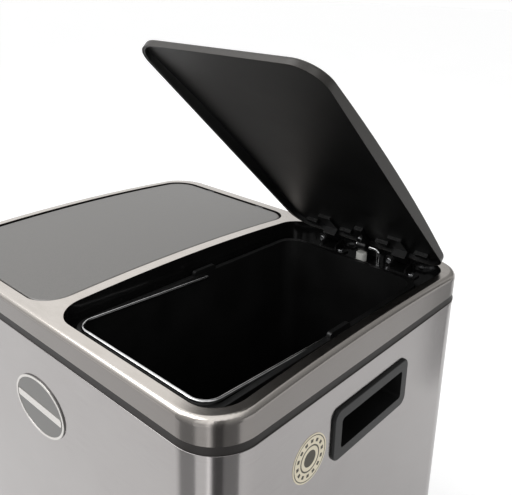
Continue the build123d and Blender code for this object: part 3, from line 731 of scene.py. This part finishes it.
@dataclass
class SideFittings:
    """Finger grips, the round sticker and the oval badge."""

    grip: MouldedPlastic = MouldedPlastic(
        # black ABS with a raised satin frame
        "moulded_black_abs_grip", "#0d0d0d", "#141414", 0.38, 1.3, 0.06, sheen=0.3
    )
    badge_face: SpeckledCoat = SpeckledCoat(
        # die-cast badge, painted mid-grey
        "painted_grey_badge", "#6c6b69", "#767573", 0.4, 0.4, 0.6, 0.08
    )
    badge_border: BrushedStainless = BrushedStainless(
        # polished border and bar, bare metal
        "polished_badge_border", "#c9c6c2", "#dedbd7", 0.22, Grain.NONE
    )
    border_width: float = 2.2 * MM
    bar_height: float = 6.5 * MM
    bar_margin: float = 3.6 * MM
    relief: float = 0.35 * MM
    segments: int = 96
    border_bevel: float = 0.25 * MM
    bar_corner: float = 2.0 * MM
    face_edge: float = 1.2  # border widths from the outline to where the face surely starts

    def _oval(
        self, shape: bmesh.types.BMesh, centre: Vector, half_x: float, half_z: float
    ) -> None:
        """Add a filled oval facing forwards.

        Args:
            shape: Mesh that takes the oval.
            centre: Middle of the oval.
            half_x: Half its length.
            half_z: Half its height.
        """
        place = (
            Matrix.Translation(centre)
            @ Matrix.Diagonal((half_x, 1.0, half_z, 1.0))
            @ Matrix.Rotation(math.radians(90), 4, "X")
        )
        bmesh.ops.create_circle(
            shape, cap_ends=True, segments=self.segments, radius=1.0, matrix=place
        )

    def _badge_plate(self, low: Vector, high: Vector) -> bpy.types.Object:
        """Model the badge's recessed face and raised border as one closed piece.

        Args:
            low: Lowest corner of the CAD badge.
            high: Its highest corner.

        Returns:
            The plate with its border.
        """
        centre = (low + high) / 2
        half_x, half_z = (high.x - low.x) / 2, (high.z - low.z) / 2
        shape = bmesh.new()
        self._oval(shape, Vector((centre.x, high.y, centre.z)), half_x, half_z)
        back = list(shape.faces)
        front = bmesh.ops.extrude_face_region(shape, geom=back)["geom"]
        moved = [v for v in front if isinstance(v, bmesh.types.BMVert)]
        bmesh.ops.translate(shape, verts=moved, vec=(0, low.y - high.y, 0))
        face = [f for f in front if isinstance(f, bmesh.types.BMFace)]
        bmesh.ops.inset_region(shape, faces=face, thickness=self.border_width, depth=0.0)
        inner = bmesh.ops.extrude_face_region(shape, geom=face)["geom"]
        sunk = [v for v in inner if isinstance(v, bmesh.types.BMVert)]
        bmesh.ops.delete(shape, geom=face, context="FACES_ONLY")
        bmesh.ops.translate(shape, verts=sunk, vec=(0, self.relief, 0))
        rim = [
            e
            for e in shape.edges
            if all(abs(v.co.y - low.y) < CLOSE for v in e.verts)
            and len(e.link_faces) == 2
            and e.calc_face_angle(0.0) > 1.0
        ]
        bmesh.ops.bevel(
            shape,
            geom=rim,
            offset=self.border_bevel,
            segments=3,
            profile=0.5,
            affect="EDGES",
            material=-1,
        )
        bmesh.ops.remove_doubles(shape, verts=shape.verts, dist=CLOSE)
        edge = self.border_width * self.face_edge
        for made in shape.faces:
            middle = made.calc_center_median()
            across = (middle.x - centre.x) / (half_x - edge)
            upward = (middle.z - centre.z) / (half_z - edge)
            raised = middle.y < low.y + self.relief * 0.9
            recessed = across**2 + upward**2 < 1.0 and abs(made.normal.y) > 0.9
            border = raised and not recessed
            made.material_index = BadgeSlot.BORDER if border else BadgeSlot.FACE
        return finish_mesh(shape, "badge_plate")

    def _badge_bar(self, low: Vector, high: Vector) -> bpy.types.Object:
        """Model the plain raised bar across the badge.

        Args:
            low: Lowest corner of the CAD badge.
            high: Its highest corner.

        Returns:
            The bar.
        """
        centre = (low + high) / 2
        length = high.x - low.x - 2 * self.bar_margin
        shape = bmesh.new()
        bmesh.ops.create_cube(
            shape,
            size=1.0,
            matrix=Matrix.Translation((centre.x, low.y + self.relief, centre.z))
            @ Matrix.Diagonal((length, 2 * self.relief, self.bar_height, 1.0)),
        )
        corners = [
            e for e in shape.edges if abs(e.verts[0].co.y - e.verts[1].co.y) > self.relief
        ]
        bmesh.ops.bevel(
            shape,
            geom=corners,
            offset=self.bar_corner,
            segments=6,
            profile=0.5,
            affect="EDGES",
            material=-1,
        )
        return finish_mesh(shape, "badge_bar")

    def build(self) -> None:
        """Dress the grips and the sticker, and model the badge."""
        dress(self.grip.make(), *both("grip"))
        low, high = (Vector(c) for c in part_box("round_label"))
        radius_mm = (high.z - low.z) / 2 / MM
        # a coated paper sticker: matt, with crisp print
        sticker = PrintedRings("printed_paper_sticker", (low + high) / 2, radius_mm)
        dress(sticker.make(), "round_label")
        low, high = (Vector(c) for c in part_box("badge"))
        border, face = self.badge_border.make(), self.badge_face.make()
        plate = self._badge_plate(low, high)
        for material in (border, face):  # in the order of BadgeSlot
            plate.data.materials.append(material)
        bar = self._badge_bar(low, high)
        bar.data.materials.append(border)
        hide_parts("badge")
        for piece in (plate, bar):
            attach(piece, "bin")
            LOG.info("%s is modelled", piece.name)


@dataclass
class Base:
    """Black plinth that carries the shell."""

    plastic: MouldedPlastic = MouldedPlastic(
        # black ABS, coarser grain than above because feet kick it
        "moulded_black_abs_base", "#131313", "#1d1d1d", 0.45, 1.6, 0.2
    )

    def build(self) -> None:
        """Dress the plinth."""
        dress(self.plastic.make(), "base_tray")


@dataclass(frozen=True)
class SoftBox:
    """A square area lamp; places are in metres, power in watts."""

    name: str
    place: tuple[float, float, float]
    aim: tuple[float, float, float]
    size: float
    power: float


@dataclass(frozen=True)
class CornerCard:
    """A card beside the front corner, between two azimuths in degrees; 0 is in front."""

    name: str
    start: float
    end: float
    glow: float


@dataclass
class Studio:
    """Pale floor, soft light and the camera."""

    floor_dark: str = "#f3f3f3"
    floor_colour: str = "#f6f6f6"
    floor_half: float = 30.0
    floor_glow: float = 0.25  # keeps the floor pale to the camera without lighting the bin
    sky: float = 1.05
    shaded_way: tuple[float, float, float] = (0.62, 0.78, 0.0)  # where the sky is greyer
    soft_boxes: tuple[SoftBox, ...] = (
        SoftBox("key_soft_box", (-0.9, -1.1, 2.2), (0, 0, 0.3), 1.6, 22.0),
        SoftBox("side_soft_box", (1.5, -0.6, 1.5), (0, 0, 0.4), 1.0, 6.0),
    )
    corner_cards: tuple[CornerCard, ...] = (
        CornerCard("grey_card", -34.0, 3.0, 0.42),
        CornerCard("bright_strip", 27.0, 32.0, 1.8),
        CornerCard("black_flag", 36.0, 58.0, 0.1),
        CornerCard("dim_card", 58.0, 90.0, 0.3),
    )
    card_distance: float = 0.3  # from the corner
    card_height: float = 0.8
    focal: float = 639.33  # in the units of the picture's size, like its optical centre
    optical_centre: tuple[float, float] = (280.08, 175.47)
    picture: tuple[int, int] = (512, 495)
    azimuth: float = 0.70276
    elevation: float = 0.286636
    roll: float = 0.037264
    distance: float = 1.572669 * DEPTH
    corner: Vector = field(default_factory=lambda: Vector((0.1665, -0.1114, 0.4)))
    target: Vector = field(
        default_factory=lambda: Vector(
            (0.2025 - 0.299865 * DEPTH, -0.1474 + 0.5 * DEPTH, 0.43 + 0.311542 * DEPTH)
        )
    )

    def _floor(self) -> None:
        """Lay the floor as one large sheet."""
        shape = bmesh.new()
        bmesh.ops.create_grid(shape, x_segments=1, y_segments=1, size=self.floor_half)
        floor = finish_mesh(shape, "floor")
        material, tree, shader = start_material("matt_white_floor")
        place = add_node(tree, "ShaderNodeTexCoord").outputs["Object"]
        cloud = add_node(
            tree,
            "ShaderNodeTexNoise",
            values={"Scale": 2.0, "Detail": 2.0},
            links={"Vector": place},
        ).outputs[0]
        tone = blend_colours(tree, cloud, self.floor_dark, self.floor_colour, 0.3, 0.7)
        tree.links.new(tone, shader.inputs["Base Color"])
        shader.inputs["Roughness"].default_value = 0.9
        shader.inputs["Emission Color"].default_value = (1.0, 1.0, 1.0, 1.0)
        straight = add_node(tree, "ShaderNodeLightPath").outputs["Is Camera Ray"]
        glow = add_node(
            tree,
            "ShaderNodeMath",
            settings={"operation": "MULTIPLY"},
            values={1: self.floor_glow},
            links={0: straight},
        ).outputs[0]
        tree.links.new(glow, shader.inputs["Emission Strength"])
        floor.data.materials.append(material)

    def _sky(self) -> None:
        """Fill the surroundings with soft light, brighter overhead."""
        world = bpy.data.worlds.new("soft_surroundings")
        bpy.context.scene.world = world
        world.use_nodes = True
        tree = world.node_tree
        tree.nodes.clear()
        way = add_node(tree, "ShaderNodeTexCoord").outputs["Generated"]
        height = add_node(tree, "ShaderNodeSeparateXYZ", links={"Vector": way}).outputs["Z"]
        tone = blend_colours(tree, height, "#d0d0d0", "#ffffff", 0.0, 0.5)
        away = add_node(
            tree,
            "ShaderNodeVectorMath",
            settings={"operation": "DOT_PRODUCT"},
            values={1: self.shaded_way},
            links={0: way},
        ).outputs["Value"]
        shade = blend_colours(tree, away, "#ffffff", "#8c8c8c", 0.15, 0.6)
        tone = add_node(
            tree,
            "ShaderNodeMix",
            settings={"data_type": "RGBA", "blend_type": "MULTIPLY"},
            values={0: 1.0},
            links={6: tone, 7: shade},
        ).outputs[2]
        soft = add_node(
            tree, "ShaderNodeBackground", values={"Strength": self.sky}, links={"Color": tone}
        ).outputs[0]
        plain = add_node(
            tree, "ShaderNodeBackground", values={"Color": (1, 1, 1, 1), "Strength": 1.0}
        ).outputs[0]
        seen = add_node(tree, "ShaderNodeLightPath").outputs["Is Camera Ray"]
        mixed = add_node(tree, "ShaderNodeMixShader", links={0: seen, 1: soft, 2: plain}).outputs[0]
        add_node(tree, "ShaderNodeOutputWorld", links={"Surface": mixed})

    def _lamp(self, box: SoftBox) -> None:
        """Hang one soft box.

        Args:
            box: The lamp's size, place, aim and power.
        """
        data = bpy.data.lights.new(box.name, "AREA")
        data.shape = "RECTANGLE"
        data.size, data.size_y = box.size, box.size
        data.energy = box.power
        lamp = bpy.data.objects.new(box.name, data)
        place = Vector(box.place)
        lamp.location = place
        lamp.rotation_euler = (Vector(box.aim) - place).to_track_quat("-Z", "Y").to_euler()
        bpy.context.scene.collection.objects.link(lamp)

    def _card(
        self, name: str, place: Vector, width: float, height: float, turn: float, glow: float
    ) -> None:
        """Stand an upright card that only reflections see.

        Args:
            name: Name of the card.
            place: Its middle.
            width: Width in metres.
            height: Height in metres.
            turn: Turn about Z in degrees; at 0 it faces along Y.
            glow: Brightness; 0 is a black flag.
        """
        shape = bmesh.new()
        bmesh.ops.create_grid(
            shape,
            x_segments=1,
            y_segments=1,
            size=0.5,
            matrix=Matrix.Translation(place)
            @ Matrix.Rotation(math.radians(turn), 4, "Z")
            @ Matrix.Rotation(math.radians(90), 4, "X")
            @ Matrix.Diagonal((width, height, 1.0, 1.0)),
        )
        card = finish_mesh(shape, name)
        material = bpy.data.materials.new(name)
        material.use_nodes = True
        tree = material.node_tree
        tree.nodes.clear()
        light = add_node(
            tree, "ShaderNodeEmission", values={"Color": (1, 1, 1, 1), "Strength": glow}
        ).outputs[0]
        add_node(tree, "ShaderNodeOutputMaterial", links={"Surface": light})
        card.data.materials.append(material)
        card.visible_camera = False
        card.visible_diffuse = False
        card.visible_shadow = False
        card.visible_transmission = False

    def _corner_card(self, card: CornerCard) -> None:
        """Stand a card beside the front corner, whose bend mirrors it as an upright band.

        Args:
            card: Its edges, seen from the corner, and its brightness.
        """
        middle = math.radians((card.start + card.end) / 2)
        width = 2 * self.card_distance * math.tan(math.radians(card.end - card.start) / 2)
        way = Vector((math.sin(middle), -math.cos(middle), 0.0))
        place = self.corner + way * self.card_distance
        self._card(card.name, place, width, self.card_height, math.degrees(middle), card.glow)

    def _camera(self) -> None:
        """Set up the camera."""
        around, up = self.azimuth, self.elevation
        back = Vector(
            (math.sin(around) * math.cos(up), -math.cos(around) * math.cos(up), math.sin(up))
        )
        right = (-back).cross(Vector((0, 0, 1))).normalized()
        above = right.cross(-back)
        tilt_right = math.cos(self.roll) * right + math.sin(self.roll) * above
        tilt_above = -math.sin(self.roll) * right + math.cos(self.roll) * above
        width, height = self.picture
        data = bpy.data.cameras.new("camera")
        data.sensor_width = 36.0
        data.lens = self.focal / width * data.sensor_width
        data.shift_x = (width / 2 - self.optical_centre[0]) / width
        data.shift_y = (self.optical_centre[1] - height / 2) / width
        data.clip_start, data.clip_end = 0.01, 100.0
        camera = bpy.data.objects.new("camera", data)
        turn = Matrix((tilt_right, tilt_above, back)).transposed()
        camera.matrix_world = Matrix.Translation(self.target + back * self.distance) @ turn.to_4x4()
        bpy.context.scene.collection.objects.link(camera)
        bpy.context.scene.camera = camera

    def build(self) -> None:
        """Set up the stage."""
        bpy.context.scene.view_settings.view_transform = "Standard"
        self._floor()
        self._sky()
        for box in self.soft_boxes:
            self._lamp(box)
        for card in self.corner_cards:
            self._corner_card(card)
        # greys what the right wall mirrors
        self._card("side_flag", Vector((0.325, 0.62, 0.38)), 0.5, 0.48, 90.0, 0.42)
        self._camera()
        LOG.info("the stage is set")


def main() -> None:
    """Build every sub-assembly in order."""
    logging.basicConfig(level=logging.INFO, format="%(message)s")
    for assembly in (
        SteelBody(),
        SteelRim(),
        Lids(),
        LiftGear(),
        InnerBuckets(),
        SideFittings(),
        Base(),
        Studio(),
    ):
        assembly.build()
        LOG.info("%s is done", type(assembly).__name__)


if __name__ == "__main__":
    main()
